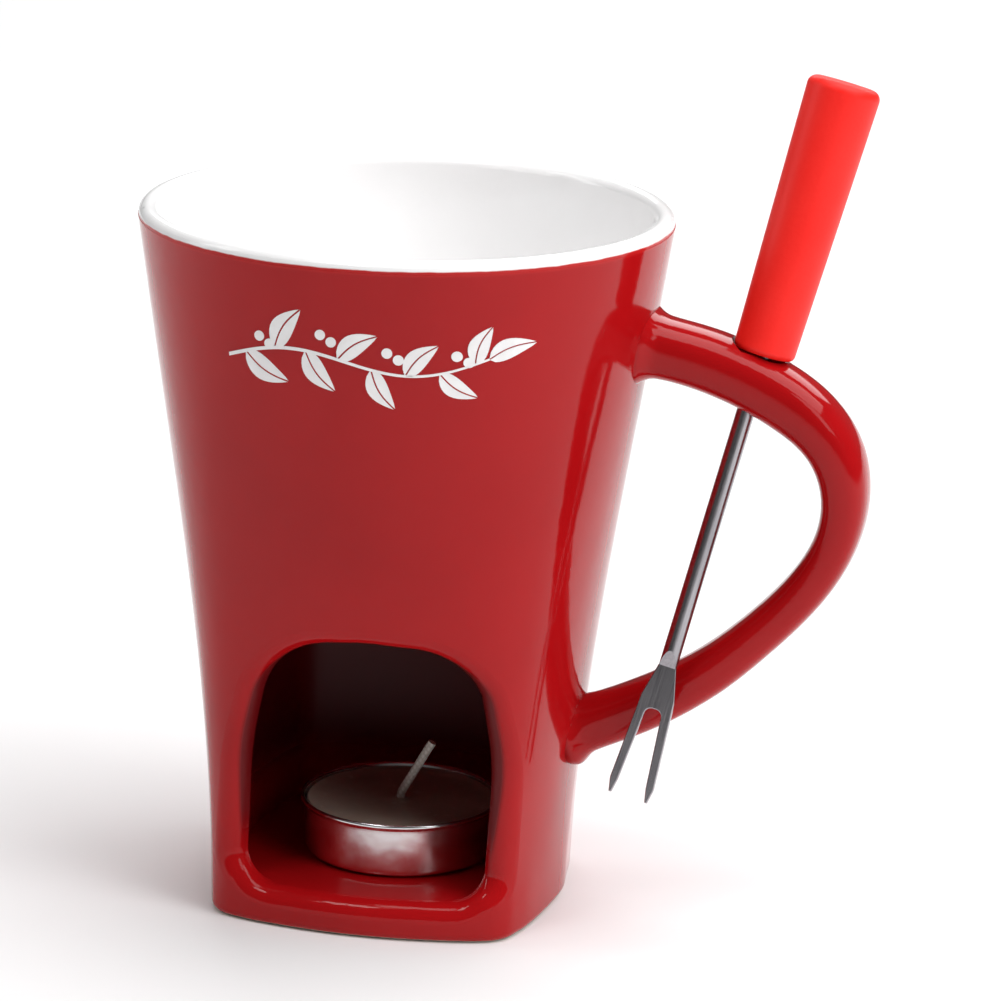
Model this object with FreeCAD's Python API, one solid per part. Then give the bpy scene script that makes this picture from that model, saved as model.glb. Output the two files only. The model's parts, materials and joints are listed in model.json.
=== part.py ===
"""Fondue mug for one: a stoneware mug with a candle chamber under its bowl, a looped handle that
holds a small dipping fork, and a tealight.  Millimetres, +Z up.  The origin is on the table plane,
on the axis of the mug; the candle window faces -Y and the handle is on +X."""
import FreeCAD, Part
import os
from math import asin, atan, atan2, cos, floor, pi, radians, sin, sqrt, tan

Vector = FreeCAD.Vector

# ---- driving sizes ---------------------------------------------------------------------------
# mug, outside
MUG_HEIGHT = 131.5
RIM_RADIUS = 49.7
FOOT_HALF_WIDTH = 32.6
FOOT_CORNER_RADIUS = 7.0
FOOT_SIDE_RADIUS = 83.0          # bulge of the four sides at the foot
ROUND_SHARE = 0.93               # share of the height where the square has become a circle
ROUND_POWER = 0.74               # how evenly the square turns round on the way up
ROUND_LIMIT = 0.98               # corner radius over half width where it counts as a circle
FLARE = (0.29, 1.30, -0.59)      # cubic shares of the widening from foot to rim; they add up to 1
FOOT_EDGE_RADIUS = 1.3

# foot ring under the mug
FOOT_RING_WIDTH = 6.0
FOOT_RECESS_DEPTH = 2.5

# candle chamber and its window
CHAMBER_FLOOR = 7.0
CHAMBER_HEIGHT = 55.0
CHAMBER_WALL = 4.6
CHAMBER_TOP_RADIUS = 7.0
WINDOW_HALF_WIDTH = 22.6
WINDOW_HEIGHT = 51.0
WINDOW_KNEE = 27.0               # height above the sill where the sides start to lean in
WINDOW_KNEE_RADIUS = 60.0
WINDOW_TOP_HALF_WIDTH = 18.4
WINDOW_SHOULDER_RADIUS = 13.0    # on the handle's side
WINDOW_FAR_SHOULDER_RADIUS = 16.5
WINDOW_SILL_RADIUS = 6.0
WINDOW_CROWN = 1.6               # rise of the top edge at its middle
WINDOW_CROWN_RADIUS = 30.0
WINDOW_DEPTH_FROM_AXIS = 20.0    # where the window's prism ends, inside the chamber
WINDOW_EDGE_RADIUS = 3.4
WINDOW_SHIFT = 1.7               # of the window's middle towards the handle
WINDOW_LEAN = 0.05               # sideways for each millimetre up

# bowl above the chamber, with its white lining
CHAMBER_CEILING_THICKNESS = 5.2
BOWL_WALL = 4.2
BOWL_CORNER_RADIUS = 15.0
LIP_THICKNESS = 3.8
LINING_THICKNESS = 0.6
LIP_STEP = 0.1                   # how far the rounded lip stands back from the wall under it
LINING_WRAP = 1.0                # how far below the top of the lip the white glaze ends outside

# handle
HANDLE_TOP_HEIGHT = 108.7
HANDLE_BOTTOM_HEIGHT = 34.6
HANDLE_REACH = 41.3
ROOT_ARM_THICKNESS = 10.0        # at the lower root
ARM_THICKNESS = 8.0
ARM_WIDTH = 13.2
SEAT_ARM_THICKNESS = 10.9
SEAT_ARM_WIDTH = 15.0
ARM_SQUARENESS = 2.7             # exponent of the arm's rounded section; 2 is an ellipse
ROOT_TAPER = 0.40                # share of the arm over which it thins from its lower root
SEAT_SWELL = (0.50, 0.80)        # shares of the arm between which it thickens towards the seat
ROOT_FLARE = 1.3                 # how much the arm swells on each side where it meets the mug
ROOT_FLARE_LENGTH = 4.5
ROOT_SINK = 2.6                  # how far the arm's line runs on inside the wall

# fork and its hole through the upper arm
FORK_STATION = 20.5              # along the arm, from the mug wall to the middle of the hole
FORK_LEAN_OUT = 13.3             # degrees
FORK_HOLE_RADIUS = 4.3
SEAT_DEPTH = 0.75                # of the flat seat of the grip, sunk into the top of the arm
SEAT_MARGIN = 0.6                # of the seat around the grip
FORK_ARM_GAP = 1.5               # between the rod and the lower arm that it passes in front of
ROD_RADIUS = 1.7
FORK_REACH = 86.0                # from the grip's lower end to the tips
TINE_LENGTH = 17.3
HEAD_LENGTH = 8.3
HEAD_SHOULDER = 0.25             # share of the head, above the split, where it is widest
HEAD_SHOULDER_RADIUS = 6.0
NECK_LENGTH = 3.2
HEAD_THICKNESS = 1.2
HEAD_WIDTH = 6.4
TINE_WIDTH = 1.7                 # at the split
TINE_END_WIDTH = 1.5             # where the point begins
TINE_POINT_LENGTH = 2.6
TINE_TIP_WIDTH = 0.5
HEAD_EDGE_RADIUS = 0.2
TIP_SPACING = 7.0
TANG_LENGTH = 38.0

GRIP_LENGTH = 51.5
GRIP_BASE_RADIUS = 5.7
GRIP_TOP_RADIUS = 6.85
GRIP_TOP_EDGE_RADIUS = 1.8
GRIP_BASE_EDGE_RADIUS = 1.2

# tealight
TEALIGHT_PLACE = (1.5, -1.5)     # its middle on the chamber's floor
CUP_LIP_RADIUS = 19.0
CUP_BASE_RADIUS = 18.0
CUP_HEIGHT = 10.6
CUP_WALL = 0.35
CUP_EDGE_RADIUS = 1.0
CUP_BEAD_RADIUS = 0.45
WAX_BELOW_LIP = 0.7
WAX_EDGE_RADIUS = 0.5
WICK_RADIUS = 0.8
WICK_BEND_RADIUS = 3.0
WICK_LEAN = 29.0                 # degrees
WICK_FREE_LENGTH = 11.4
SUSTAINER_RADIUS = 6.0
SUSTAINER_THICKNESS = 0.3
SUSTAINER_COLLAR_RADIUS = 1.4
SUSTAINER_COLLAR_HEIGHT = 2.5

# clearances between bodies that come apart
REST_GAP = 0.3                   # under whatever stands or sits on something
CANDLE_GAP = 0.3                 # around the candle in its cup

# how finely the free-form sections are drawn
SECTION_POINTS = 48
ARM_POINTS = 24


# ---- helpers ---------------------------------------------------------------------------------
def closed_curve(points):
    """A smooth closed wire through the points."""
    curve = Part.BSplineCurve()
    curve.interpolate(points, PeriodicFlag=True)
    return Part.Wire([curve.toShape()])


def open_curve(points):
    curve = Part.BSplineCurve()
    curve.interpolate(points)
    return curve


def loft(wires):
    return Part.makeLoft(wires, True, False)


def spin(edges):
    """The solid that a closed outline in the XZ plane sweeps round the Z axis."""
    wire = Part.Wire(Part.__sortEdges__(edges))
    return Part.Face(wire).revolve(Vector(0, 0, 0), Vector(0, 0, 1), 360)


def flat(x, z):
    return Vector(x, 0, z)


def line(start, end):
    return Part.LineSegment(start, end).toShape()


def arc(start, middle, end):
    return Part.Arc(start, middle, end).toShape()


def on_circle(centre, radius, angle):
    return centre + flat(radius * cos(angle), radius * sin(angle))


def rounded_outline(corners, y=0.0):
    """Edges of a closed outline in the plane at y; each corner is (x, z, radius of its rounding)."""
    places = [Vector(x, y, z) for x, z, radius in corners]
    ends = []
    edges = []
    for index, (x, z, radius) in enumerate(corners):
        here = places[index]
        if not radius:
            ends.append((here, here))
            continue
        back = (places[index - 1] - here).normalize()
        ahead = (places[(index + 1) % len(places)] - here).normalize()
        half_angle = back.getAngle(ahead) / 2
        inward = (back + ahead).normalize()
        reach = radius / tan(half_angle)
        middle = here + inward * (radius / sin(half_angle) - radius)
        ends.append((here + back * reach, here + ahead * reach))
        edges.append(arc(ends[-1][0], middle, ends[-1][1]))
    for index, (start, end) in enumerate(ends):
        target = ends[(index + 1) % len(ends)][0]
        if (target - end).Length > 1e-6:
            edges.append(line(end, target))
    return edges


def blend(share):
    """Smooth step from 0 to 1."""
    share = min(max(share, 0.0), 1.0)
    return share * share * (3.0 - 2.0 * share)


def export(node, shape):
    if shape.ShapeType != "Solid":
        shape = shape.Solids[0]
    shape.exportStep("parts/%s.step" % node)
    print("%-16s volume %9.1f valid %s" % (node, shape.Volume, shape.isValid()))


# ---- mug outside -----------------------------------------------------------------------------
def half_width(z):
    share = z / MUG_HEIGHT
    widening = sum(part * share ** (power + 1) for power, part in enumerate(FLARE))
    return FOOT_HALF_WIDTH + (RIM_RADIUS - FOOT_HALF_WIDTH) * widening


def wall_slope(z):
    """Angle that the wall leans out from the vertical."""
    step = 0.01
    return atan((half_width(z + step) - half_width(z - step)) / (2 * step))


def mug_section(z, inset=0.0, height=None):
    """The rounded square, drawn in from the outside by the inset, at one height of the mug."""
    half = half_width(z)
    share = min(max(z / (ROUND_SHARE * MUG_HEIGHT), 0.0), 1.0)
    squareness = (1.0 - share) ** ROUND_POWER
    side = 1.0 / ((1.0 - squareness) / half + squareness / FOOT_SIDE_RADIUS)
    corner = ROUND_LIMIT * half * (1.0 - squareness) + FOOT_CORNER_RADIUS * squareness
    shift = side - half
    root = sqrt(4 * shift * shift - 8 * (shift * shift - (side - corner) ** 2))
    centre = (root - 2 * shift) / 4.0
    spread = atan2(centre, centre + shift)
    points = []
    for index in range(SECTION_POINTS):
        turn = 2 * pi * (index + 0.5) / SECTION_POINTS
        quarter = floor((turn + pi / 4) / (pi / 2))
        local = turn - quarter * pi / 2
        if abs(local) <= spread:
            x = -shift + (side - inset) * cos(local)
            y = (side - inset) * sin(local)
        else:
            x = centre + (corner - inset) * cos(local)
            y = (centre if local > 0 else -centre) + (corner - inset) * sin(local)
        c, s = cos(quarter * pi / 2), sin(quarter * pi / 2)
        points.append(Vector(c * x - s * y, s * x + c * y, z if height is None else height))
    return closed_curve(points)


def mug_outside(edge_radius):
    count = 10
    solid = loft([mug_section(MUG_HEIGHT * index / count) for index in range(count + 1)])
    if edge_radius:
        foot_edges = [e for e in solid.Edges if e.BoundBox.ZMax < 0.01]
        solid = solid.makeFillet(edge_radius, foot_edges)
    return solid


# ---- bowl and its lining ---------------------------------------------------------------------
BOWL_FLOOR = CHAMBER_FLOOR + CHAMBER_HEIGHT + CHAMBER_CEILING_THICKNESS + LINING_THICKNESS
LIP_RADIUS = LIP_THICKNESS / 2
WRAP_ANGLE = asin(1 - LINING_WRAP / LIP_RADIUS)


def lip_centre():
    z = MUG_HEIGHT - LIP_RADIUS
    slope = wall_slope(z)
    wall = half_width(z - LIP_RADIUS * sin(slope))
    return flat(wall - LIP_STEP - LIP_RADIUS * cos(slope), z), slope


def bowl_outline(depth):
    """Open outline of the bowl from its middle over the lip to where the white glaze ends.
    depth 0 is the glaze surface; a greater depth lies that far inside the wall."""
    radius = LIP_RADIUS - depth
    centre, slope = lip_centre()
    lip_inner = on_circle(centre, radius, pi - slope)
    lip_top = on_circle(centre, radius, (pi - slope + WRAP_ANGLE) / 2)
    wrap_end = on_circle(centre, radius, WRAP_ANGLE)

    corner = BOWL_CORNER_RADIUS + depth
    lean = wall_slope(BOWL_FLOOR + BOWL_CORNER_RADIUS)
    low = BOWL_FLOOR + BOWL_CORNER_RADIUS * (1 - sin(lean))
    pivot = flat(half_width(low) - BOWL_WALL - BOWL_CORNER_RADIUS * cos(lean),
                 BOWL_FLOOR + BOWL_CORNER_RADIUS)
    wall_low = on_circle(pivot, corner, -lean)
    bend = on_circle(pivot, corner, -(lean + pi / 2) / 2)
    floor_edge = on_circle(pivot, corner, -pi / 2)

    count = 5
    wall = []
    for index in range(count + 1):
        share = index / count
        z = wall_low.z + (lip_inner.z - wall_low.z) * share
        offset = (half_width(wall_low.z) - wall_low.x) * (1 - share)
        offset += (half_width(lip_inner.z) - lip_inner.x) * share
        wall.append(flat(half_width(z) - offset, z))
    edges = [line(flat(0, floor_edge.z), floor_edge), arc(floor_edge, bend, wall_low),
             open_curve(wall).toShape(), arc(lip_inner, lip_top, wrap_end)]
    return edges, flat(0, floor_edge.z), wrap_end


def bowl_lining():
    face, face_middle, face_end = bowl_outline(0.0)
    back, back_middle, back_end = bowl_outline(LINING_THICKNESS)
    return spin(face + back + [line(face_end, back_end), line(back_middle, face_middle)])


def bowl_cutter():
    """Everything above the clay: the bowl, the lining and the air round the lip."""
    edges, middle, end = bowl_outline(LINING_THICKNESS)
    centre, slope = lip_centre()
    glaze_end, lip_outer, lip_middle = (
        on_circle(centre, LIP_RADIUS, angle) for angle in (WRAP_ANGLE, -slope, (WRAP_ANGLE - slope) / 2))
    clear = 2 * LIP_THICKNESS
    corners = [lip_outer, flat(RIM_RADIUS + clear, lip_outer.z),
               flat(RIM_RADIUS + clear, MUG_HEIGHT + clear), flat(0, MUG_HEIGHT + clear), middle]
    edges += [line(end, glaze_end), arc(glaze_end, lip_middle, lip_outer)]
    return spin(edges + [line(a, b) for a, b in zip(corners, corners[1:])])


# ---- chamber ---------------------------------------------------------------------------------
def chamber_space():
    top = CHAMBER_FLOOR + CHAMBER_HEIGHT
    count = 4
    heights = [CHAMBER_FLOOR + CHAMBER_HEIGHT * index / count for index in range(count + 1)]
    space = loft([mug_section(z, CHAMBER_WALL) for z in heights])
    top_edges = [e for e in space.Edges if e.BoundBox.ZMin > top - 0.01]
    return space.makeFillet(CHAMBER_TOP_RADIUS, top_edges)


def window_space():
    """Prism through the front wall: straight sides, shoulders that lean in, a slightly crowned top."""
    sill = CHAMBER_FLOOR
    knee = sill + WINDOW_KNEE
    top = sill + WINDOW_HEIGHT
    shoulder = top - WINDOW_CROWN
    right = [(WINDOW_HALF_WIDTH, sill, WINDOW_SILL_RADIUS),
             (WINDOW_HALF_WIDTH, knee, WINDOW_KNEE_RADIUS),
             (WINDOW_TOP_HALF_WIDTH, shoulder, WINDOW_SHOULDER_RADIUS)]
    left = [(-x, z, radius) for x, z, radius in reversed(right)]
    left[0] = (-WINDOW_TOP_HALF_WIDTH, shoulder, WINDOW_FAR_SHOULDER_RADIUS)
    corners = [(x + WINDOW_SHIFT + WINDOW_LEAN * (z - (sill + top) / 2), z, radius)
               for x, z, radius in right + [(0, top, WINDOW_CROWN_RADIUS)] + left]
    outline = rounded_outline(corners, -2 * RIM_RADIUS)
    face = Part.Face(Part.Wire(Part.__sortEdges__(outline)))
    return face.extrude(Vector(0, 2 * RIM_RADIUS - WINDOW_DEPTH_FROM_AXIS, 0))


def chamber_floor():
    """Plate that closes the bottom of the chamber, let into the foot ring from above."""
    outline = mug_section(CHAMBER_FLOOR, CHAMBER_WALL, FOOT_RECESS_DEPTH)
    return Part.Face(outline).extrude(Vector(0, 0, CHAMBER_FLOOR - FOOT_RECESS_DEPTH))


def foot_recess():
    outline = mug_section(0.0, FOOT_RING_WIDTH)
    return Part.Face(outline).extrude(Vector(0, 0, FOOT_RECESS_DEPTH))


def window_edges(solid, outside):
    """The window's edges in the outer face of the mug, or in the chamber's wall."""
    low = CHAMBER_FLOOR - 1.0
    high = CHAMBER_FLOOR + WINDOW_HEIGHT + 1.0
    found = []
    for edge in solid.Edges:
        box = edge.BoundBox
        if box.YMax > -WINDOW_DEPTH_FROM_AXIS + 0.01 or box.ZMin < low or box.ZMax > high:
            continue
        middle = edge.valueAt((edge.FirstParameter + edge.LastParameter) / 2)
        near = outside.distToShape(Part.Vertex(middle))[0] < 0.01
        if near and len(solid.ancestorsOfType(edge, Part.Face)) == 2:
            found.append(edge)
    return found


def mug_body():
    shell = mug_outside(FOOT_EDGE_RADIUS)
    outer_skin = max(shell.Faces, key=lambda face: face.Area)
    hollow = chamber_space().fuse(window_space())
    body = shell.cut(hollow).cut(chamber_floor()).cut(foot_recess()).cut(bowl_cutter())
    body = body.Solids[0]
    return body.makeFillet(WINDOW_EDGE_RADIUS, window_edges(body, outer_skin))


# ---- handle ----------------------------------------------------------------------------------
# shape of the handle's loop: how far up it is between its two roots, and how far out of its reach
LOOP = ((-0.02, -0.08), (0.060, 0.245), (0.157, 0.510), (0.320, 0.790), (0.485, 0.968),
        (0.640, 1.000), (0.788, 0.885), (0.900, 0.613), (0.973, 0.266), (1.005, -0.08))


def handle_line():
    """Middle line of the handle, from inside the mug wall at the bottom to inside it at the top."""
    points = []
    for rise, reach in LOOP:
        z = HANDLE_BOTTOM_HEIGHT + (HANDLE_TOP_HEIGHT - HANDLE_BOTTOM_HEIGHT) * rise
        root = half_width(HANDLE_BOTTOM_HEIGHT)
        root += (half_width(HANDLE_TOP_HEIGHT) - root) * rise
        points.append(flat(root + HANDLE_REACH * reach, z))
    return open_curve(points)


def wall_crossing(curve, start, end):
    """Parameter where the line comes out of the mug, between one inside and one outside."""
    for step in range(40):
        middle = (start + end) / 2
        place = curve.value(middle)
        if place.x < half_width(place.z):
            start = middle
        else:
            end = middle
    return end


class Arm:
    """The handle's middle line measured from the lower root, with the arm's size along it."""

    def __init__(self):
        self.curve = handle_line()
        first, last = self.curve.FirstParameter, self.curve.LastParameter
        middle = (first + last) / 2
        self.low = wall_crossing(self.curve, first, middle)
        self.high = wall_crossing(self.curve, last, middle)
        self.length = self.curve.length(self.low, self.high)

    def parameter(self, distance):
        return self.curve.parameterAtDistance(distance, self.low)

    def place(self, distance):
        return self.curve.value(self.parameter(distance))

    def along(self, distance):
        return self.curve.tangent(self.parameter(distance))[0]

    def size(self, distance):
        """Half thickness and half width of the arm."""
        share = distance / self.length
        to_seat = blend((share - SEAT_SWELL[0]) / (SEAT_SWELL[1] - SEAT_SWELL[0]))
        thickness = ARM_THICKNESS + (SEAT_ARM_THICKNESS - ARM_THICKNESS) * to_seat
        thickness += (ROOT_ARM_THICKNESS - ARM_THICKNESS) * blend(1 - share / ROOT_TAPER)
        width = ARM_WIDTH + (SEAT_ARM_WIDTH - ARM_WIDTH) * to_seat
        from_root = min(distance, self.length - distance)
        near = max(1 - max(from_root, 0.0) / ROOT_FLARE_LENGTH, 0.0)
        swell = ROOT_FLARE * near ** 3
        return thickness / 2 + swell, width / 2 + swell

    def section(self, distance):
        middle, along = self.place(distance), self.along(distance)
        across = Vector(0, 1, 0)
        up = along.cross(across)
        half_up, half_across = self.size(distance)
        power = 2.0 / ARM_SQUARENESS
        points = []
        for index in range(ARM_POINTS):
            turn = 2 * pi * (index + 0.5) / ARM_POINTS
            c, s = cos(turn), sin(turn)
            u = half_up * abs(c) ** power * (1 if c > 0 else -1)
            v = half_across * abs(s) ** power * (1 if s > 0 else -1)
            points.append(middle + up * u + across * v)
        return closed_curve(points)

    def solid(self):
        root = [-ROOT_SINK] + [share * ROOT_FLARE_LENGTH for share in (0.0, 0.25, 0.55, 1.0)]
        inner = self.length - 2 * ROOT_FLARE_LENGTH
        count = 12
        middle = [ROOT_FLARE_LENGTH + inner * index / count for index in range(1, count)]
        stations = root + middle + [self.length - distance for distance in reversed(root)]
        return loft([self.section(distance) for distance in stations])


def fork_frame(arm):
    """Placement of the fork: its origin in the middle of the arm at the hole, its Z up the rod."""
    origin = arm.place(arm.length - FORK_STATION)
    lean = tan(radians(FORK_LEAN_OUT))
    # where the rod's line meets the lower arm, seen from the front
    low, high = 0.0, arm.length * 0.45
    for step in range(40):
        middle = (low + high) / 2
        place = arm.place(middle)
        if place.x < origin.x - lean * (origin.z - place.z):
            low = middle
        else:
            high = middle
    half_thickness, half_arm = arm.size(low)
    drop = origin.z - arm.place(low).z - half_thickness
    back = (half_arm + ROD_RADIUS + FORK_ARM_GAP) / drop
    up = Vector(lean, back, 1).normalize()
    side = (Vector(1, 0, 0) - up * up.x).normalize()
    turn = FreeCAD.Rotation(side, up.cross(side), up, "ZXY")
    return FreeCAD.Placement(origin, turn)


SEAT_RISE = SEAT_ARM_THICKNESS / 2 - SEAT_DEPTH


def mug_handle(arm, place):
    solid = arm.solid().cut(mug_outside(0))
    bottom, top = -3 * SEAT_RISE, 3 * SEAT_RISE
    hole = Part.makeCylinder(FORK_HOLE_RADIUS, top - bottom, Vector(0, 0, bottom))
    seat = Part.makeCylinder(GRIP_BASE_RADIUS + SEAT_MARGIN, top, Vector(0, 0, SEAT_RISE))
    for tool in (hole, seat):
        tool.Placement = place
        solid = solid.cut(tool)
    return max(solid.Solids, key=lambda piece: piece.Volume)


# ---- fork ------------------------------------------------------------------------------------
GRIP_START = SEAT_RISE + REST_GAP
TIP_LEVEL = GRIP_START - FORK_REACH


def fork_steel():
    """Rod stamped flat at its lower end and split into two pointed tines."""
    split = TIP_LEVEL + TINE_LENGTH
    head_top = split + HEAD_LENGTH
    neck_top = head_top + NECK_LENGTH
    rod = Part.makeCylinder(ROD_RADIUS, GRIP_START + TANG_LENGTH - head_top, Vector(0, 0, head_top))
    for side in (-1, 1):
        corners = [(HEAD_THICKNESS / 2, head_top), (ROD_RADIUS, neck_top),
                   (2 * ROD_RADIUS, neck_top), (2 * ROD_RADIUS, head_top - 1),
                   (HEAD_THICKNESS / 2, head_top - 1)]
        profile = [Vector(-2 * ROD_RADIUS, side * y, z) for y, z in corners]
        wedge = Part.Face(Part.makePolygon(profile + profile[:1])).extrude(Vector(4 * ROD_RADIUS, 0, 0))
        rod = rod.cut(wedge)
    half_head = HEAD_WIDTH / 2
    crotch = half_head - TINE_WIDTH
    tip_in, end_in, end_out, tip_out = (
        (TIP_SPACING + width) / 2
        for width in (-TINE_TIP_WIDTH, -TINE_END_WIDTH, TINE_END_WIDTH, TINE_TIP_WIDTH))
    point = TIP_LEVEL + TINE_POINT_LENGTH
    right = [(ROD_RADIUS * 0.6, head_top + NECK_LENGTH * 0.5, 0), (ROD_RADIUS, head_top, 0),
             (half_head, split + HEAD_LENGTH * HEAD_SHOULDER, HEAD_SHOULDER_RADIUS),
             (end_out, point, TINE_POINT_LENGTH), (tip_out, TIP_LEVEL, 0),
             (tip_in, TIP_LEVEL, 0), (end_in, point, TINE_POINT_LENGTH),
             (crotch, split, crotch * 0.9)]
    left = [(-x, z, radius) for x, z, radius in reversed(right)]
    outline = rounded_outline(right + left, -HEAD_THICKNESS / 2)
    face = Part.Face(Part.Wire(Part.__sortEdges__(outline)))
    head = face.extrude(Vector(0, HEAD_THICKNESS, 0))
    rims = [e for e in head.Edges if e.BoundBox.YLength < 0.01]
    head = head.makeFillet(HEAD_EDGE_RADIUS, rims)
    return rod.fuse(head).removeSplitter()


def fork_grip():
    bore = rounded_outline([(0, GRIP_START, 0),
                            (GRIP_BASE_RADIUS, GRIP_START, GRIP_BASE_EDGE_RADIUS),
                            (GRIP_TOP_RADIUS, GRIP_START + GRIP_LENGTH, GRIP_TOP_EDGE_RADIUS),
                            (0, GRIP_START + GRIP_LENGTH, 0)])
    tang = Part.makeCylinder(ROD_RADIUS, TANG_LENGTH, Vector(0, 0, GRIP_START))
    return spin(bore).cut(tang)


# ---- tealight --------------------------------------------------------------------------------
CUP_BOTTOM = CHAMBER_FLOOR + REST_GAP
CUP_TOP = CUP_BOTTOM + CUP_HEIGHT
WAX_BOTTOM = CUP_BOTTOM + CUP_WALL + REST_GAP
WAX_TOP = CUP_TOP - WAX_BELOW_LIP


def cup_radius(z):
    """Outer radius of the cup's tapered wall below its bead."""
    top = CUP_LIP_RADIUS - CUP_BEAD_RADIUS
    return CUP_BASE_RADIUS + (top - CUP_BASE_RADIUS) * (z - CUP_BOTTOM) / CUP_HEIGHT


def tealight_cup():
    bead = CUP_TOP - 2 * CUP_BEAD_RADIUS
    inside = CUP_BOTTOM + CUP_WALL
    outline = rounded_outline([
        (0, CUP_BOTTOM, 0), (cup_radius(CUP_BOTTOM), CUP_BOTTOM, CUP_EDGE_RADIUS),
        (cup_radius(bead), bead, 0), (CUP_LIP_RADIUS, bead, CUP_BEAD_RADIUS * 0.9),
        (CUP_LIP_RADIUS, CUP_TOP, CUP_BEAD_RADIUS * 0.9),
        (cup_radius(CUP_TOP) - CUP_WALL, CUP_TOP, 0),
        (cup_radius(inside) - CUP_WALL, inside, CUP_EDGE_RADIUS - CUP_WALL), (0, inside, 0)])
    return spin(outline)


def tealight_wax():
    low = cup_radius(WAX_BOTTOM) - CUP_WALL - CANDLE_GAP
    high = cup_radius(WAX_TOP) - CUP_WALL - CANDLE_GAP
    edge = CUP_EDGE_RADIUS + CANDLE_GAP
    wax = spin(rounded_outline([(0, WAX_BOTTOM, 0), (low, WAX_BOTTOM, edge), (high, WAX_TOP, WAX_EDGE_RADIUS),
                                (0, WAX_TOP, 0)]))
    wick = Part.makeCylinder(WICK_RADIUS, WAX_TOP - WAX_BOTTOM, Vector(0, 0, WAX_BOTTOM))
    plate = Part.makeCylinder(SUSTAINER_RADIUS, SUSTAINER_THICKNESS, Vector(0, 0, WAX_BOTTOM))
    collar = Part.makeCylinder(SUSTAINER_COLLAR_RADIUS, SUSTAINER_COLLAR_HEIGHT,
                               Vector(0, 0, WAX_BOTTOM))
    return wax.cut(wick.fuse([plate, collar]))


def wick_sustainer():
    plate = Part.makeCylinder(SUSTAINER_RADIUS, SUSTAINER_THICKNESS, Vector(0, 0, WAX_BOTTOM))
    collar = Part.makeCylinder(SUSTAINER_COLLAR_RADIUS, SUSTAINER_COLLAR_HEIGHT,
                               Vector(0, 0, WAX_BOTTOM))
    above = WAX_BOTTOM + SUSTAINER_THICKNESS
    wick = Part.makeCylinder(WICK_RADIUS, SUSTAINER_COLLAR_HEIGHT, Vector(0, 0, above))
    return plate.fuse(collar).cut(wick).removeSplitter()


def tealight_wick():
    """Upright in the wax, bent over where it comes out."""
    lean = radians(WICK_LEAN)
    start = flat(0, WAX_BOTTOM + SUSTAINER_THICKNESS)
    bend = flat(0, WAX_TOP)
    pivot = bend + flat(WICK_BEND_RADIUS, 0)
    out = on_circle(pivot, WICK_BEND_RADIUS, pi - lean)
    middle = on_circle(pivot, WICK_BEND_RADIUS, pi - lean / 2)
    end = out + flat(sin(lean), cos(lean)) * WICK_FREE_LENGTH
    path = Part.Wire([line(start, bend), arc(bend, middle, out), line(out, end)])
    ring = Part.Wire([Part.makeCircle(WICK_RADIUS, start)])
    return path.makePipeShell([ring], True, True)


# ---- build -----------------------------------------------------------------------------------
def main():
    os.makedirs("parts", exist_ok=True)
    arm = Arm()
    place = fork_frame(arm)
    export("mug_body", mug_body())
    export("chamber_floor", chamber_floor())
    export("bowl_lining", bowl_lining())
    export("mug_handle", mug_handle(arm, place))
    for node, shape in (("fork_steel", fork_steel()), ("fork_grip", fork_grip())):
        shape.Placement = place
        export(node, shape)
    for build in (tealight_cup, tealight_wax, tealight_wick, wick_sustainer):
        shape = build()
        shape.translate(Vector(*TEALIGHT_PLACE, 0))
        export(build.__name__, shape)
    axis = place.Rotation.multVec(Vector(0, 0, 1))
    print("fork axis %.5f %.5f %.5f through %.3f %.3f %.3f" % (tuple(axis) + tuple(place.Base)))


main()
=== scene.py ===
"""Looks of the fondue mug set: glazed stoneware, a steel fork with a soft grip, and a tealight."""
import json
import math

import bmesh
import bpy
from mathutils import Matrix, Vector


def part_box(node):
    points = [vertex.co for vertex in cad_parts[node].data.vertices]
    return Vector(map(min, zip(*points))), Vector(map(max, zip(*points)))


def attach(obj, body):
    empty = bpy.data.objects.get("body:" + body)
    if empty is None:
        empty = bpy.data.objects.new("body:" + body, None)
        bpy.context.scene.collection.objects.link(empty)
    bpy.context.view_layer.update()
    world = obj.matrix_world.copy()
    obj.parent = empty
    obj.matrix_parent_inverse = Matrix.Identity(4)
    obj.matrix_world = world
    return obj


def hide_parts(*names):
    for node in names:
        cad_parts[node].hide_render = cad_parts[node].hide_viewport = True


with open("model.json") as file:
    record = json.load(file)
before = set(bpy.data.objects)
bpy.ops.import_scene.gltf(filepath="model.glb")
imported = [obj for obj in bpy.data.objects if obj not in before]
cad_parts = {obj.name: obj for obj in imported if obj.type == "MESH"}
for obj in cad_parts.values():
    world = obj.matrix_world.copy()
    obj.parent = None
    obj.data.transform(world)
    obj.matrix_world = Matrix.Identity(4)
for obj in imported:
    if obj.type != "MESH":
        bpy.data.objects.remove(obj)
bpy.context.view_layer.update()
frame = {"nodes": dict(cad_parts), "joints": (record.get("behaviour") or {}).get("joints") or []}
nodes = frame["nodes"]

MM = 0.001


# ---- modelling by hand -----------------------------------------------------------------------
def deselect():
    bpy.ops.object.select_all(action="DESELECT")


def activate(piece):
    deselect()
    piece.select_set(True)
    bpy.context.view_layer.objects.active = piece


def begin_edit(piece, selected="DESELECT"):
    activate(piece)
    bpy.ops.object.mode_set(mode="EDIT")
    bpy.ops.mesh.select_all(action=selected)


def end_edit():
    bpy.ops.object.mode_set(mode="OBJECT")


def pick(piece, test):
    """In edit mode, select the vertices whose place passes the test."""
    mesh = bmesh.from_edit_mesh(piece.data)
    for vertex in mesh.verts:
        vertex.select = test(vertex.co)
    mesh.select_flush_mode()
    bmesh.update_edit_mesh(piece.data)


def named(name):
    piece = bpy.context.object
    piece.name = piece.data.name = name
    return piece


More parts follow.
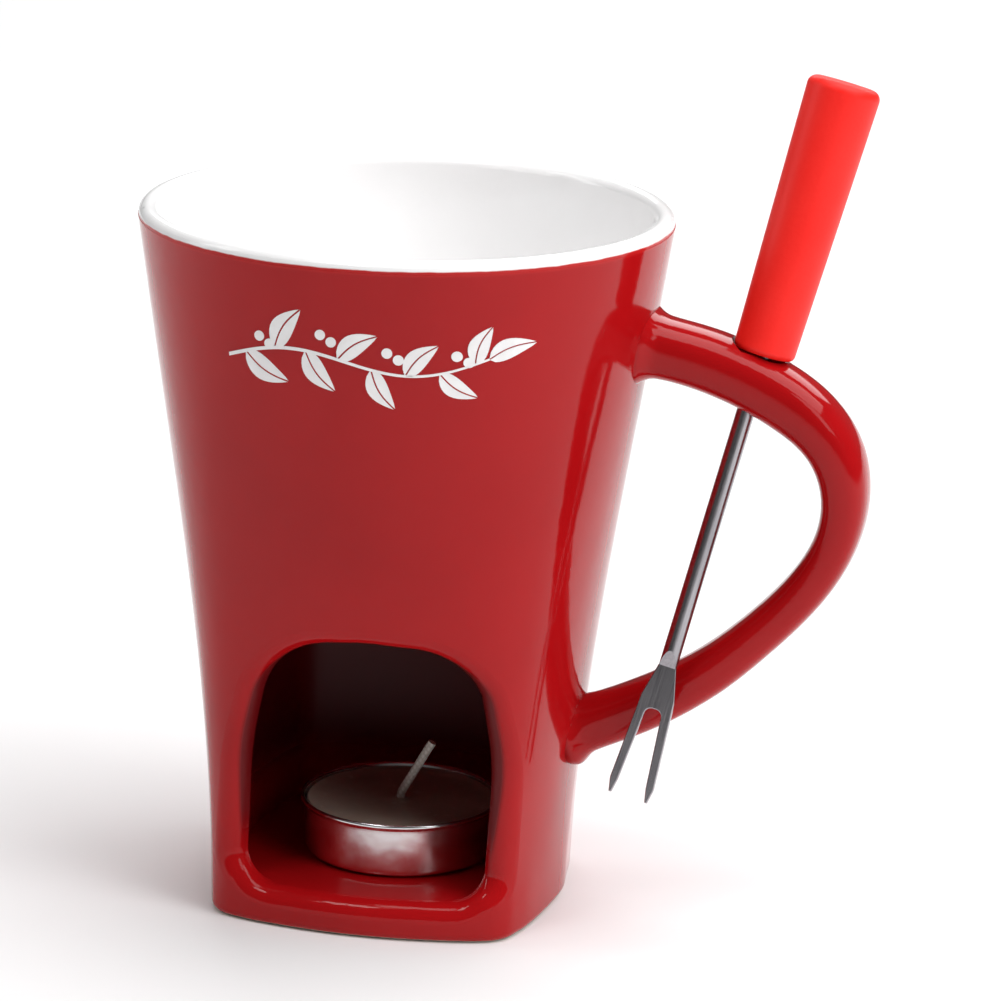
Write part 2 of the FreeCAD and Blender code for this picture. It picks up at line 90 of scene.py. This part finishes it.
def settle(piece):
    """Put the piece's place into its mesh."""
    activate(piece)
    bpy.ops.object.transform_apply(location=True, rotation=True, scale=True)


def apply_modifier(piece, kind, **settings):
    modifier = piece.modifiers.new(kind.title(), kind)
    for key, value in settings.items():
        setattr(modifier, key, value)
    activate(piece)
    bpy.ops.object.modifier_apply(modifier=modifier.name)


def smooth(piece, degrees=40):
    activate(piece)
    bpy.ops.object.shade_smooth_by_angle(angle=math.radians(degrees))


def join(name, pieces):
    deselect()
    for piece in pieces:
        piece.select_set(True)
    bpy.context.view_layer.objects.active = pieces[0]
    bpy.ops.object.join()
    return named(name)


def placed_copy(piece, place):
    """A copy with its own mesh, put in place."""
    twin = piece.copy()
    twin.data = piece.data.copy()
    bpy.context.scene.collection.objects.link(twin)
    twin.matrix_world = place
    return twin


def turned(name, profile, middle, steps):
    """Turned on a lathe: a profile of (radius, height) in millimetres, spun round an upright axis."""
    deselect()
    radius, height = profile[0]
    bpy.ops.mesh.primitive_plane_add(size=MM, location=(middle.x + radius * MM, middle.y, height * MM))
    piece = named(name)
    settle(piece)
    begin_edit(piece, "SELECT")
    bpy.ops.mesh.merge(type="CENTER")
    for (r0, z0), (r1, z1) in zip(profile, profile[1:]):
        step = ((r1 - r0) * MM, 0, (z1 - z0) * MM)
        bpy.ops.mesh.extrude_vertices_move(TRANSFORM_OT_translate={"value": step})
    bpy.ops.mesh.select_all(action="SELECT")
    bpy.ops.mesh.spin(steps=steps, angle=2 * math.pi, center=(middle.x, middle.y, 0), axis=(0, 0, 1))
    bpy.ops.mesh.select_all(action="SELECT")
    bpy.ops.mesh.remove_doubles(threshold=0.002 * MM)
    bpy.ops.mesh.normals_make_consistent(inside=False)
    end_edit()
    return piece


# ---- shader expressions ----------------------------------------------------------------------
class Field:
    """A node socket that can be used in arithmetic; every operation adds its Math node."""

    def __init__(self, surface, socket):
        self.surface = surface
        self.socket = socket

    def math(self, operation, *others):
        return self.surface.add("ShaderNodeMath", {"operation": operation}, (self,) + others)

    def __add__(self, other):
        return self.math("ADD", other)

    def __sub__(self, other):
        return self.math("SUBTRACT", other)

    def __mul__(self, other):
        return self.math("MULTIPLY", other)

    def __pow__(self, other):
        return self.math("POWER", other)

    def __rsub__(self, other):
        return self.surface.add("ShaderNodeMath", {"operation": "SUBTRACT"}, (other, self))

    __radd__ = __add__
    __rmul__ = __mul__

    def step(self, low, high):
        """Smooth step from 0 at low to 1 at high; low may be the larger."""
        return self.surface.add(
            "ShaderNodeMapRange", {"interpolation_type": "SMOOTHSTEP"},
            {"Value": self, "From Min": low, "From Max": high}, "Result")


class Surface:
    """One material: a Principled shader and the nodes that feed it."""

    def __init__(self, name, **constants):
        self.material = bpy.data.materials.new(name)
        self.material.use_nodes = True
        self.tree = self.material.node_tree
        self.shader = self.tree.nodes["Principled BSDF"]
        for socket, value in constants.items():
            self.shader.inputs[socket.replace("_", " ")].default_value = value
        self.place = self.add("ShaderNodeTexCoord", {}, {}, "Object")

    def add(self, kind, settings=None, inputs=(), output=0):
        node = self.tree.nodes.new(kind)
        for key, value in (settings or {}).items():
            setattr(node, key, value)
        pairs = inputs.items() if isinstance(inputs, dict) else enumerate(inputs)
        for key, value in pairs:
            if isinstance(value, Field):
                self.tree.links.new(value.socket, node.inputs[key])
            else:
                node.inputs[key].default_value = value
        return Field(self, node.outputs[output])

    def ramp(self, value, *stops):
        """Colour ramp; each stop is (position, colour)."""
        node = self.tree.nodes.new("ShaderNodeValToRGB")
        elements = node.color_ramp.elements
        while len(elements) < len(stops):
            elements.new(0.5)
        for element, (position, colour) in zip(elements, stops):
            element.position = position
            element.color = tuple(colour) + (1.0,)
        self.tree.links.new(value.socket, node.inputs[0])
        return Field(self, node.outputs[0])

    def turned_to(self, rotation, scale):
        """Object coordinates in a turned frame, measured in steps of the scale."""
        return self.add("ShaderNodeMapping", {"vector_type": "TEXTURE"}, {
            "Vector": self.place, "Rotation": rotation, "Scale": scale})

    def noise(self, scale, detail=2.0, roughness=0.5, at=None):
        return self.add("ShaderNodeTexNoise", {}, {
            "Vector": at or self.place, "Scale": scale, "Detail": detail, "Roughness": roughness})

    def axes(self):
        node = self.tree.nodes.new("ShaderNodeSeparateXYZ")
        self.tree.links.new(self.place.socket, node.inputs[0])
        return [Field(self, socket) for socket in node.outputs]

    def mix(self, share, first, second):
        """Colour mix; each colour is a Field or three numbers."""
        node = self.tree.nodes.new("ShaderNodeMix")
        node.data_type = "RGBA"
        sockets = {s.identifier: s for s in node.inputs}
        for name, value in (("Factor_Float", share), ("A_Color", first), ("B_Color", second)):
            if isinstance(value, Field):
                self.tree.links.new(value.socket, sockets[name])
            else:
                sockets[name].default_value = tuple(value) + (1.0,)
        outputs = {s.identifier: s for s in node.outputs}
        return Field(self, outputs["Result_Color"])

    def feed(self, socket, value):
        self.tree.links.new(value.socket, self.shader.inputs[socket])

    def bump(self, height, distance, strength=1.0, after=None):
        inputs = {"Height": height, "Distance": distance, "Strength": strength}
        if after is not None:
            inputs["Normal"] = after
        return self.add("ShaderNodeBump", {}, inputs)

    def coat(self, *pieces):
        for piece in pieces:
            piece.data.materials.clear()
            piece.data.materials.append(self.material)


# ---- camera, floor and lights ----------------------------------------------------------------
def set_camera(azimuth=12.342, elevation=15.505, distance=0.87526, right_shift=0.01855,
               height=0.07552, roll=1.557, lens=168.373):
    """Camera on a sphere round a point beside the mug's axis; azimuth 0 looks along +Y."""
    turn, rise, tip = (math.radians(v) for v in (azimuth, elevation, roll))
    right = Vector((math.cos(turn), math.sin(turn), 0))
    back = Vector((math.sin(turn) * math.cos(rise), -math.cos(turn) * math.cos(rise), math.sin(rise)))
    up = back.cross(right)
    place = right * right_shift + Vector((0, 0, height)) + back * distance
    right, up = right * math.cos(tip) + up * math.sin(tip), up * math.cos(tip) - right * math.sin(tip)
    axes = Matrix((right, up, back)).transposed().to_4x4()
    data = bpy.data.cameras.new("camera")
    data.sensor_width = 36.0
    data.lens = lens
    data.clip_end = 50.0
    camera = bpy.data.objects.new("camera", data)
    bpy.context.scene.collection.objects.link(camera)
    camera.matrix_world = Matrix.Translation(place) @ axes
    bpy.context.scene.camera = camera


def softbox(name, place, target, size, power, mirrored=True):
    """A soft light aimed at the target; one that isn't mirrored leaves no gleam in the glaze."""
    data = bpy.data.lights.new(name, "AREA")
    data.shape = "RECTANGLE"
    data.size, data.size_y = size
    data.energy = power
    light = bpy.data.objects.new(name, data)
    bpy.context.scene.collection.objects.link(light)
    aim = (Vector(target) - Vector(place)).to_track_quat("-Z", "Y")
    light.matrix_world = Matrix.Translation(place) @ aim.to_matrix().to_4x4()
    light.visible_glossy = mirrored


def set_studio():
    bpy.context.scene.view_settings.view_transform = "Standard"
    world = bpy.data.worlds.new("studio")
    bpy.context.scene.world = world
    world.use_nodes = True
    world.node_tree.nodes["Background"].inputs[0].default_value = (1.0, 1.0, 1.0, 1.0)
    world.node_tree.nodes["Background"].inputs[1].default_value = 0.08
    middle = (0.0, 0.0, 0.07)    # of the mug
    softbox("overhead", (0.42, 0.05, 1.25), (0.05, 0.02, 0.0), (1.2, 1.4), 19.0)
    softbox("behind", (0.0, 1.50, 0.90), (0.0, 1.10, 0.0), (1.8, 0.8), 14.0)
    softbox("side_left", (-0.85, -0.10, 0.50), middle, (0.22, 0.7), 1.6)
    softbox("fill_right", (0.95, -0.35, 0.60), middle, (0.50, 0.6), 4.2, mirrored=False)
    softbox("side_right", (0.75, -0.60, 0.70), middle, (0.30, 0.5), 1.3)
    softbox("front_high", (-0.30, -0.55, 1.10), middle, (0.30, 0.20), 1.4)

    deselect()
    bpy.ops.mesh.primitive_plane_add(size=8.0, location=(0, 0, -0.2 * MM))
    floor = named("floor")
    settle(floor)
    paper = Surface("floor_paper", Roughness=0.75)
    grain = paper.noise(6.0, 3.0)
    paper.feed("Base Color", paper.ramp(grain, (0.3, (0.86, 0.86, 0.865)), (0.7, (0.89, 0.89, 0.892))))
    paper.coat(floor)


# ---- finishes --------------------------------------------------------------------------------
WHITE_TONES = ((0.905, 0.895, 0.895), (0.945, 0.940, 0.940))
WHITE_RUN = 1.34 * MM            # below the lip's top, on the outside
THIN_RED = 0.56 * MM             # width of the paler red under the white
FADE = 0.28 * MM
CHAMBER_HALF_WIDTH = 28.0 * MM   # at the foot
CHAMBER_FLARE = 0.1              # gained per unit of height
CHAMBER_CEILING = 61.0 * MM
BARE_CLAY_HEIGHT = 0.22 * MM


def red_glaze(lip_height):
    glaze = Surface("red_glaze", IOR=1.31)
    across, deep, high = glaze.axes()
    mottle = glaze.noise(70.0, 4.0, 0.6)
    cloud = glaze.noise(16.0, 2.0, 0.5)
    tone = mottle * 0.3 + cloud * 0.7
    colour = glaze.ramp(tone, (0.30, (0.350, 0.0035, 0.0050)), (0.70, (0.430, 0.0055, 0.0075)))
    # the red thins towards the lip, where the white of the bowl has run a little way over it
    edge = high + glaze.noise(240.0, 2.0, 0.5) * (0.3 * MM)
    run_end = lip_height - WHITE_RUN
    thin = edge.step(run_end - THIN_RED - 0.70 * MM, run_end - THIN_RED)
    colour = glaze.mix(thin * 0.4, colour, (0.66, 0.030, 0.027))
    colour = glaze.mix(edge.step(run_end - FADE, run_end), colour, WHITE_TONES[0])
    # painted shade: the walls of the candle chamber are mixed towards near-black and made rougher, standing
    # in for the shade inside it
    squared_radius = (across ** 4.0 + deep ** 4.0) ** 0.25 - high * CHAMBER_FLARE
    inside = squared_radius.step(CHAMBER_HALF_WIDTH + 0.9 * MM, CHAMBER_HALF_WIDTH)
    below_bowl = high.step(CHAMBER_CEILING + 2 * MM, CHAMBER_CEILING)
    painted_chamber_shade = inside * below_bowl * high.step(10 * MM, 22 * MM)
    colour = glaze.mix(painted_chamber_shade * 0.72, colour, (0.030, 0.0016, 0.0030))
    # the foot ring stands on bare clay
    bare = high.step(BARE_CLAY_HEIGHT + 0.1 * MM, BARE_CLAY_HEIGHT)
    clay = glaze.ramp(glaze.noise(900.0, 3.0, 0.6), (0.35, (0.60, 0.50, 0.40)), (0.65, (0.74, 0.66, 0.56)))
    glaze.feed("Base Color", glaze.mix(bare, colour, clay))
    # rougher on the bare clay of the foot, and on the chamber walls where shade is painted
    glaze.feed("Roughness", mottle * 0.05 + 0.06 + bare * 0.6 + painted_chamber_shade * 0.3)
    swell = glaze.noise(34.0, 2.0, 0.5)
    ripple = glaze.bump(swell, 0.25 * MM, 0.35)
    pitting = glaze.noise(700.0, 2.0, 0.5).step(0.70, 0.80)
    glaze.feed("Normal", glaze.bump(pitting, 0.02 * MM, 0.6, ripple))
    return glaze


def white_glaze():
    glaze = Surface("white_glaze", IOR=1.45)
    cloud = glaze.noise(30.0, 3.0, 0.5)
    glaze.feed("Base Color", glaze.ramp(cloud, (0.3, WHITE_TONES[0]), (0.7, WHITE_TONES[1])))
    glaze.feed("Roughness", cloud * 0.06 + 0.06)
    glaze.feed("Normal", glaze.bump(glaze.noise(40.0, 2.0, 0.5), 0.15 * MM, 0.3))
    return glaze


def sprig_slip():
    slip = Surface("sprig_slip", IOR=1.45)
    cloud = slip.noise(300.0, 3.0, 0.55)
    slip.feed("Base Color", slip.ramp(cloud, (0.3, (0.86, 0.84, 0.84)), (0.7, (0.93, 0.92, 0.92))))
    slip.feed("Roughness", cloud * 0.1 + 0.12)
    return slip


def brushed(name, dark, light, rotation, roughness):
    """Metal with fine lines along the Z axis of the turned frame."""
    metal = Surface(name, Metallic=1.0)
    lines = metal.noise(1.0, 3.0, 0.6, metal.turned_to(rotation, (0.12 * MM, 0.12 * MM, 9 * MM)))
    stain = metal.noise(90.0, 2.0, 0.5)
    metal.feed("Base Color", metal.ramp(lines * 0.7 + stain * 0.3, (0.32, dark), (0.68, light)))
    metal.feed("Roughness", lines * 0.16 + roughness)
    metal.feed("Normal", metal.bump(lines, 0.015 * MM, 0.5))
    return metal


def grip_plastic():
    soft = Surface("grip_plastic", IOR=1.35)
    grain = soft.noise(1500.0, 2.0, 0.6)
    cloud = soft.noise(60.0, 2.0, 0.5)
    tone = grain * 0.3 + cloud * 0.7
    soft.feed("Base Color", soft.ramp(tone, (0.3, (0.97, 0.018, 0.012)), (0.7, (1.0, 0.030, 0.022))))
    soft.feed("Roughness", grain * 0.15 + 0.38)
    soft.feed("Normal", soft.bump(grain, 0.04 * MM, 0.6))
    return soft


def aluminium():
    metal = Surface("cup_aluminium", Metallic=1.0)
    grain = metal.noise(260.0, 3.0, 0.6)
    metal.feed("Base Color", metal.ramp(grain, (0.3, (0.80, 0.79, 0.80)), (0.7, (0.92, 0.92, 0.93))))
    metal.feed("Roughness", grain * 0.14 + 0.16)
    dents = metal.bump(metal.noise(140.0, 2.0, 0.5), 0.22 * MM, 0.55)
    metal.feed("Normal", metal.bump(grain, 0.03 * MM, 0.5, dents))
    return metal


def wax():
    soft = Surface("wax", Subsurface_Weight=0.12, Subsurface_Scale=0.002, IOR=1.43)
    cloud = soft.noise(75.0, 4.0, 0.55)
    fleck = soft.noise(420.0, 2.0, 0.5).step(0.62, 0.72)
    # painted shade: the wax's tones are painted darker and browner than the off-white wax, for the shade
    # inside the candle chamber
    colour = soft.ramp(cloud, (0.3, (0.46, 0.36, 0.29)), (0.7, (0.58, 0.48, 0.39)))
    soft.feed("Base Color", soft.mix(fleck * 0.2, colour, (0.80, 0.76, 0.70)))
    soft.feed("Roughness", cloud * 0.2 + 0.28)
    soft.feed("Normal", soft.bump(cloud, 0.12 * MM, 0.5))
    return soft


def wick_cotton():
    thread = Surface("wick_cotton", Roughness=0.9)
    twist = [thread.add("ShaderNodeTexWave", {"bands_direction": "X"}, {
        "Vector": thread.turned_to((0, math.radians(turn), 0), (1, 1, 1)), "Scale": 360.0,
        "Distortion": 0.6}) for turn in (35, 145)]
    braid = twist[0] * twist[1]
    thread.feed("Base Color", thread.ramp(braid, (0.05, (0.66, 0.61, 0.54)), (0.5, (0.84, 0.80, 0.74))))
    thread.feed("Normal", thread.bump(braid, 0.07 * MM, 0.6))
    return thread


# ---- tealight --------------------------------------------------------------------------------
FLUTES = 64


def foil_cup():
    """Pressed foil cup: rounded base, shallow flutes and a rolled lip."""
    low, high = (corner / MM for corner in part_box("tealight_cup"))
    middle = (low + high) / 2 * MM
    lip, bottom, top = (high.x - low.x) / 2, low.z, high.z
    outside = [(0, bottom), (lip - 2.2, bottom), (lip - 1.6, bottom + 0.1), (lip - 1.15, bottom + 0.5),
               (lip - 1.0, bottom + 1.1), (lip - 0.95, bottom + 1.5), (lip - 0.62, top - 1.9),
               (lip - 0.55, top - 1.4), (lip - 0.5, top - 1.05)]
    roll = [(lip - 0.12, top - 0.85), (lip, top - 0.5), (lip - 0.1, top - 0.18), (lip - 0.38, top),
            (lip - 0.68, top - 0.16), (lip - 0.82, top - 0.5)]
    inside = [(lip - 0.86, top - 1.4), (lip - 1.3, bottom + 1.1), (lip - 1.75, bottom + 0.35),
              (0, bottom + 0.35)]
    cup = turned("foil_cup", outside + roll + inside, middle, 2 * FLUTES)
    begin_edit(cup)

    def furrow(place):
        turn = math.atan2(place.y - middle.y, place.x - middle.x) * FLUTES / math.pi
        height = place.z / MM
        wall = bottom + 1.4 < height < top - 1.8
        out = math.hypot(place.x - middle.x, place.y - middle.y) / MM > lip - 1.0
        return wall and out and round(turn) % 2 == 0

    pick(cup, furrow)
    bpy.ops.transform.resize(value=(0.9955, 0.9955, 1.0), center_override=middle)
    end_edit()
    smooth(cup, 55)
    return cup


def poured_wax():
    """Wax that has set with a raised rim, a sunk middle and a little collar round the wick."""
    low, high = (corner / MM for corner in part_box("tealight_wax"))
    middle = (low + high) / 2 * MM
    edge, bottom, top = (high.x - low.x) / 2, low.z, high.z
    profile = [(0, bottom + 0.3), (6.05, bottom + 0.3), (6.05, bottom), (edge - 1.7, bottom),
               (edge - 0.8, bottom + 0.4), (edge - 0.5, bottom + 1.4), (edge - 0.05, top - 0.6),
               (edge - 0.06, top - 0.2), (edge - 0.25, top - 0.02), (edge - 0.6, top - 0.12),
               (edge - 1.3, top - 0.3), (edge - 2.6, top - 0.42), (edge - 6.0, top - 0.5),
               (6.0, top - 0.56), (3.4, top - 0.6), (2.0, top - 0.5), (1.3, top - 0.28),
               (0.9, top - 0.05), (0, top - 0.02)]
    cake = turned("poured_wax", profile, middle, 96)
    smooth(cake, 50)
    return cake


# ---- leaf sprig on the front -----------------------------------------------------------------
SPRIG_MIDDLE = (5.5 * MM, 112.6 * MM)    # across and up, on the front of the mug
SPRIG_LENGTH = 47.0
SPRIG_WAVE = 2.4                         # half the height of the stem's wave
LEAF_LENGTH = 9.6
LEAF_COUNT = 8


def blade(name, length, rows, half_width, rise):
    """Flat strip along +X; half_width and rise, in millimetres, are functions of the share along it."""
    deselect()
    bpy.ops.mesh.primitive_grid_add(x_subdivisions=rows, y_subdivisions=3, size=length * MM,
                                    location=(length * MM / 2, 0, 0))
    strip = named(name)
    settle(strip)
    begin_edit(strip)
    for column in range(rows + 1):
        share = column / rows
        across = share * length * MM
        pick(strip, lambda place: abs(place.x - across) < length * MM / rows / 4)
        bpy.ops.transform.resize(value=(1, 2 * half_width(share) / length, 1),
                                 center_override=(across, 0, 0))
        bpy.ops.transform.translate(value=(0, rise(share) * MM, 0))
    end_edit()
    return strip


def stem_rise(share):
    return SPRIG_WAVE * math.sin(2 * math.pi * share)


def sprig():
    """A trailing sprig with paired leaves and berries, laid on the mug as a thin white slip."""
    def leaf_width(share):
        return 0.07 + 2.1 * math.sin(math.pi * share ** 0.75) ** 0.85

    def bend(share):
        return 0.9 * math.sin(math.pi * share)

    halves = [blade("leaf_half", LEAF_LENGTH, 12, lambda t: leaf_width(t) / 2 - 0.05,
                    lambda t, side=side: bend(t) + side * (leaf_width(t) / 2 + 0.12))
              for side in (1, -1)]
    leaf = join("leaf", halves)
    deselect()
    bpy.ops.mesh.primitive_circle_add(vertices=20, radius=0.95 * MM, fill_type="TRIFAN")
    berry = named("berry")
    parts = [blade("stem", SPRIG_LENGTH, 46, lambda t: 0.34 - 0.16 * t, stem_rise)]
    for index in range(LEAF_COUNT):
        share = (index + 0.6) / LEAF_COUNT
        side = 1 if index % 2 else -1
        slope = math.atan(SPRIG_WAVE * 2 * math.pi / SPRIG_LENGTH * math.cos(2 * math.pi * share))
        root = Vector((share * SPRIG_LENGTH * MM, stem_rise(share) * MM, 0))
        size = 1.0 - 0.25 * share
        turn = Matrix.Rotation(slope + side * math.radians(48), 4, "Z")
        flip = Matrix.Diagonal((size, size * side, side, 1))
        parts.append(placed_copy(leaf, Matrix.Translation(root) @ turn @ flip))
        if index % 2 == 0:
            lift = Vector((3.0 * MM, -side * 3.1 * MM, 0))
            for offset in (Vector((0, 0, 0)), Vector((1.9 * MM, 1.3 * side * MM, 0))):
                parts.append(placed_copy(berry, Matrix.Translation(root + lift + offset)))
    tip = Vector((SPRIG_LENGTH * MM, stem_rise(1.0) * MM, 0))
    parts.append(placed_copy(leaf, Matrix.Translation(tip) @ Matrix.Rotation(0.3, 4, "Z")
                             @ Matrix.Scale(0.8, 4)))
    for master in (leaf, berry):
        bpy.data.objects.remove(master)
    for part in parts:
        settle(part)
    whole = join("leaf_sprig", parts)
    across, up = SPRIG_MIDDLE
    whole.matrix_world = Matrix.Translation((across, -0.075, up)) @ Matrix.Rotation(
        math.pi / 2, 4, "X") @ Matrix.Rotation(0.05, 4, "Z") @ Matrix.Translation(
        (-(SPRIG_LENGTH + LEAF_LENGTH * 0.8) / 2 * MM, 0, 0))
    settle(whole)
    begin_edit(whole, "SELECT")
    bpy.ops.mesh.remove_doubles(threshold=0.002 * MM)
    end_edit()
    apply_modifier(whole, "SHRINKWRAP", target=nodes["mug_body"], wrap_method="PROJECT",
                   use_project_x=False, use_project_y=True, use_project_z=False,
                   use_positive_direction=True, use_negative_direction=False)
    apply_modifier(whole, "SOLIDIFY", thickness=0.22 * MM, offset=0.5, use_even_offset=False)
    smooth(whole, 35)
    return whole


# ---- put together ----------------------------------------------------------------------------
set_camera()
set_studio()

red_glaze(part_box("bowl_lining")[1].z).coat(nodes["mug_body"], nodes["mug_handle"], nodes["chamber_floor"])
white_glaze().coat(nodes["bowl_lining"])

fork_axis = Vector(next(j["axis"] for j in frame["joints"] if j["child"] == "fork"))
fork_turn = fork_axis.to_track_quat("Z", "Y").to_euler()
brushed("steel", (0.24, 0.23, 0.25), (0.48, 0.46, 0.48), fork_turn, 0.14).coat(nodes["fork_steel"])
brushed("sustainer_tin", (0.52, 0.52, 0.52), (0.64, 0.64, 0.64), (0, 0, 0), 0.25).coat(
    nodes["wick_sustainer"])
grip_plastic().coat(nodes["fork_grip"])
wick_cotton().coat(nodes["tealight_wick"])

cup = foil_cup()
aluminium().coat(cup)
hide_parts("tealight_cup")
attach(cup, "tealight")

cake = poured_wax()
wax().coat(cake)
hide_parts("tealight_wax")
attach(cake, "candle")

leaves = sprig()
sprig_slip().coat(leaves)
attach(leaves, "mug")
